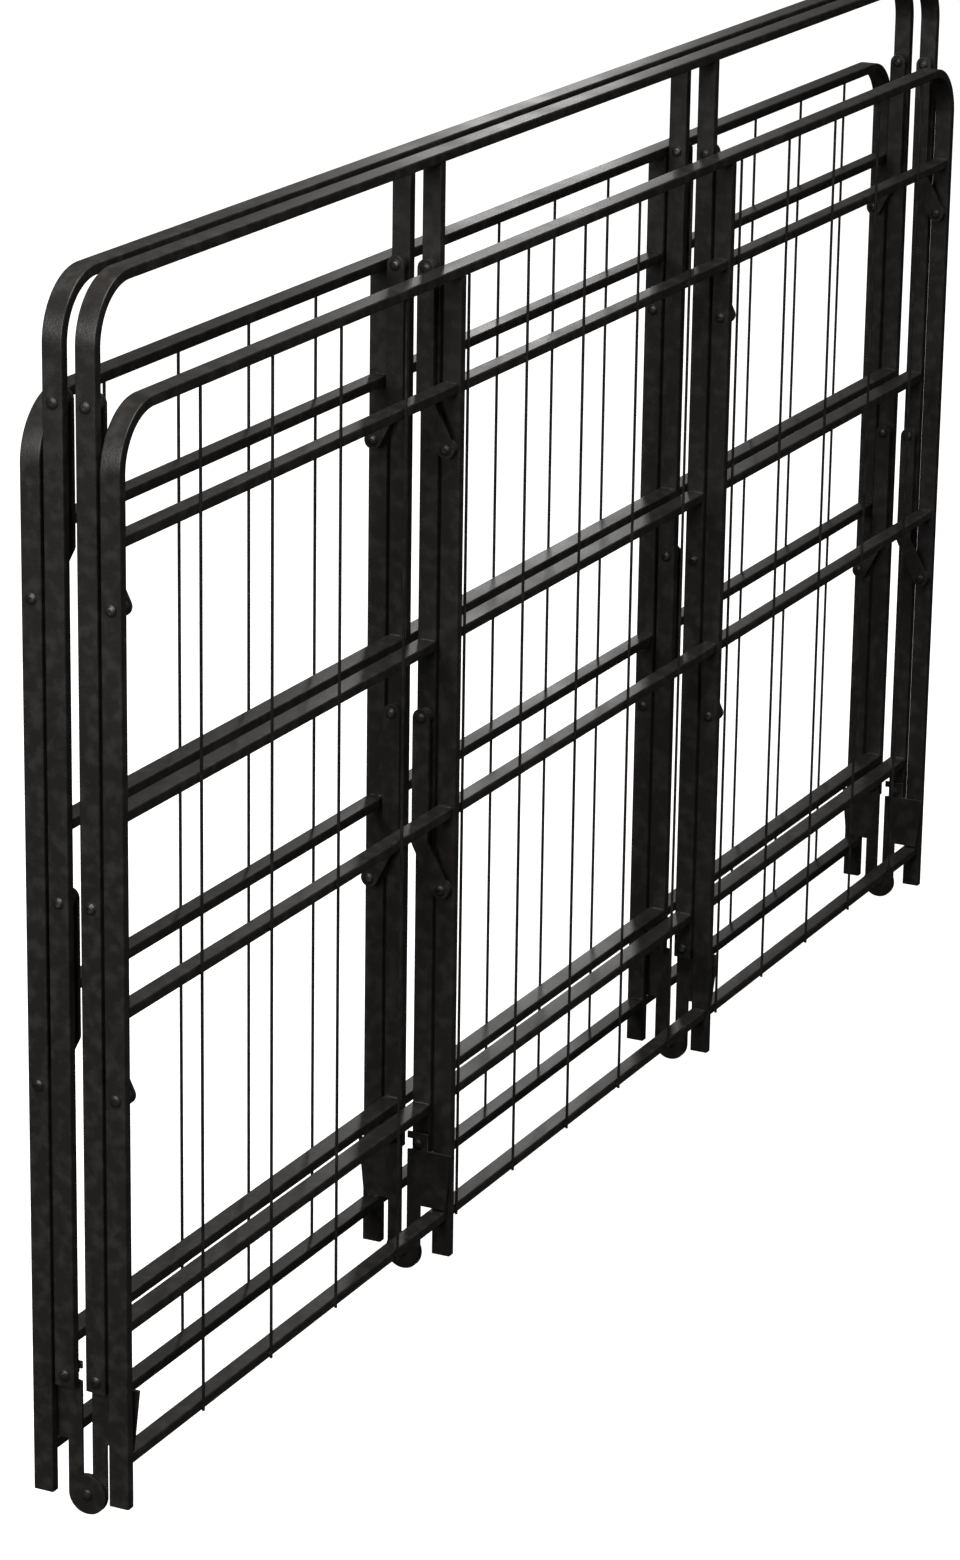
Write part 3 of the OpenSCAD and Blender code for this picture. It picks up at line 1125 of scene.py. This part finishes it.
@dataclass
class Linkage:
    """A half's two rows of cranked links."""

    shop: Workshop
    layout: Layout
    half: Half

    def outline(self, node: str) -> Outline:
        """Gives a link's outline: straight beside the base post, then slanting to the deck.

        Args:
            node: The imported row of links.

        Returns:
            The points in Y and Z.
        """
        low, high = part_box(node)
        r = STOCK.link_w / 2
        deck_y = max(abs(low.y), abs(high.y)) - r
        base_y = min(abs(low.y), abs(high.y)) + r
        foot, knee, top = low.z + r, low.z + r + STOCK.link_crank, high.z - r
        lean = math.degrees(math.atan2(deck_y - base_y, knee - foot))
        points = arc((base_y, top), r, 0.0, 180.0, 16)
        points += arc((base_y, knee), r, 180.0, 180.0 + lean, 6)
        points += arc((deck_y, foot), r, 180.0 + lean, 360.0 + lean, 16)
        points += [(base_y + r, knee + r * math.tan(math.radians(lean) / 2))]
        return [(self.half.value * y, z) for y, z in points]

    def build(self) -> None:
        """Builds both rows."""
        for row in ("lower_links", "upper_links"):
            node = self.half.named(row)
            low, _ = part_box(node)
            off = low.x - self.layout.side_face(0)
            pattern = flat_piece(f"{node}_pattern", self.outline(node), STOCK.link_t)
            points = [Vector((x, 0.0, 0.0)) for x in self.layout.centred(off, off + STOCK.link_t)]
            links = self.shop.copies(f"{node}_cranked", pattern, points, Slot.COAT)
            self.shop.hand_over(links, node, Slot.COAT, node)


@dataclass
class FoldLine:
    """The four bolts that join the halves."""

    shop: Workshop
    layout: Layout

    def build(self) -> None:
        """Builds the bolts, which ride with the rear deck."""
        node = "fold_bolts"
        low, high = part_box(node)
        plate_low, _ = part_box("rear_hinge_plates")
        outer_low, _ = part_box("front_hinge_plates")
        face = self.layout.side_face(0)
        inner = plate_low.x - face - STOCK.pin_play
        outer = outer_low.x - face + STOCK.plate_t + STOCK.pin_play
        pattern = HeadedPin(outer - inner).build(f"{node}_pattern")
        middle = (low + high) / 2
        points = [Vector((x, middle.y, middle.z)) for x in self.layout.centred(inner, outer)]
        bolts = self.shop.copies(f"{node}_headed", pattern, points, Slot.FASTENER)
        self.shop.hand_over(bolts, "rear_deck", Slot.FASTENER, node)


@dataclass
class Studio:
    """The camera, the lights and the pale floor."""

    aim: Vector = field(default_factory=lambda: Vector((-0.170, 0.0, 0.470)))
    distance: float = 5.009
    heading: float = 25.94
    fall: float = 18.06
    roll: float = 0.87
    lens: float = 115.06
    floor_size: float = 60.0
    floor_shade: float = 0.9
    floor_glow: float = 0.97
    reflected_floor: float = 0.05
    reflected_wall: float = 0.09
    light_height: float = 0.55

    def forward(self) -> Vector:
        """Gives the direction in which the camera looks."""
        heading, fall = math.radians(self.heading), math.radians(self.fall)
        level = math.cos(fall)
        return Vector((math.cos(heading) * level, math.sin(heading) * level, -math.sin(fall)))

    def build_camera(self) -> None:
        """Sets up the camera."""
        forward = self.forward()
        right = forward.cross(Vector((0.0, 0.0, 1.0))).normalized()
        up = right.cross(forward)
        roll = math.radians(self.roll)
        side = right * math.cos(roll) + up * math.sin(roll)
        crown = up * math.cos(roll) - right * math.sin(roll)
        camera = bpy.data.cameras.new("camera")
        camera.lens = self.lens
        holder = bpy.data.objects.new("camera", camera)
        turn = Matrix((side, crown, -forward)).transposed()
        holder.matrix_world = Matrix.Translation(self.aim - forward * self.distance) @ turn.to_4x4()
        bpy.context.scene.collection.objects.link(holder)
        bpy.context.scene.camera = holder

    def add_softbox(self, name: str, place: Vector, size: tuple[float, float], power: float) -> None:
        """Adds a soft light that faces the bed base.

        Args:
            name: The light's name.
            place: Where it stands.
            size: Its width and height.
            power: Its power in watts.
        """
        light = bpy.data.lights.new(name, "AREA")
        light.shape = "RECTANGLE"
        light.size, light.size_y = size
        light.energy = power
        holder = bpy.data.objects.new(name, light)
        holder.location = place
        view = Vector((0.0, 0.0, self.light_height)) - place
        holder.rotation_euler = view.to_track_quat("-Z", "Y").to_euler()
        holder.visible_camera = False
        bpy.context.scene.collection.objects.link(holder)

    def build_lights(self) -> None:
        """Sets up the softboxes: one overhead, a tall one beyond the bed base and a weak fill."""
        self.add_softbox("overhead", Vector((-1.2, -0.8, 4.2)), (3.0, 3.0), 120.0)
        self.add_softbox("beyond", Vector((4.3, 2.1, 1.9)), (0.35, 1.6), 7.0)
        self.add_softbox("fill", Vector((-4.6, 0.4, 2.2)), (2.4, 2.0), 90.0)

    @staticmethod
    def seen_or_reflected(graph: Graph, seen: float, reflected: float) -> tuple[object, object]:
        """Gives a grey that the camera sees and a dimmer one that reflections see.

        Args:
            graph: The material's or the world's graph.
            seen: The grey in view.
            reflected: The grey in reflections.

        Returns:
            The colour's socket and the socket that tells the two apart.
        """
        direct = graph.add("ShaderNodeLightPath").outputs["Is Camera Ray"]
        return graph.blend(direct, (*[reflected] * 3, 1.0), (*[seen] * 3, 1.0)), direct

    def build_world(self) -> None:
        """Gives the studio white walls in view and dim ones in reflections."""
        world = bpy.data.worlds.new("studio")
        world.use_nodes = True
        graph = Graph(world.node_tree)
        walls, _ = self.seen_or_reflected(graph, 1.0, self.reflected_wall)
        graph.feed(world.node_tree.nodes["Background"].inputs["Color"], walls)
        bpy.context.scene.world = world

    def build_floor(self) -> None:
        """Lays the pale floor, dim in reflections."""
        reach = self.floor_size / 2
        mesh = bpy.data.meshes.new("floor")
        signs = ((-1, -1), (1, -1), (1, 1), (-1, 1))
        corners = [(reach * x, reach * y, 0.0) for x, y in signs]
        mesh.from_pydata(corners, [], [(0, 1, 2, 3)])
        paint = bpy.data.materials.new("floor_paint")
        paint.use_nodes = True
        graph = Graph(paint.node_tree)
        shader = paint.node_tree.nodes["Principled BSDF"]
        shade, direct = self.seen_or_reflected(graph, self.floor_shade, self.reflected_floor)
        graph.feed(shader.inputs["Base Color"], shade)
        shader.inputs["Roughness"].default_value = 1.0
        shader.inputs["Specular IOR Level"].default_value = 0.0
        shader.inputs["Emission Color"].default_value = (1.0, 1.0, 1.0, 1.0)
        graph.feed(shader.inputs["Emission Strength"], graph.math("MULTIPLY", direct, self.floor_glow))
        mesh.materials.append(paint)
        placed("floor", mesh)

    def build(self) -> None:
        """Sets up the whole studio."""
        bpy.context.scene.view_settings.view_transform = "Standard"
        self.build_camera()
        self.build_lights()
        self.build_world()
        self.build_floor()


def main() -> None:
    """Builds the studio and the bed base, sub-assembly by sub-assembly."""
    logging.basicConfig(level=logging.INFO, format="%(name)s: %(message)s")
    Studio().build()
    shop, layout = Workshop(), Layout.from_frame()
    for half in Half:
        deck_bars = ("bar_upper", "bar_middle", "bar_lower")
        Deck(shop, layout, half, half.named("deck"), deck_bars).build()
        BaseFrame(shop, layout, half, half.named("base"), ("bar_middle", "bar_lower")).build()
        Linkage(shop, layout, half).build()
    FoldLine(shop, layout).build()


if __name__ == "__main__":
    main()
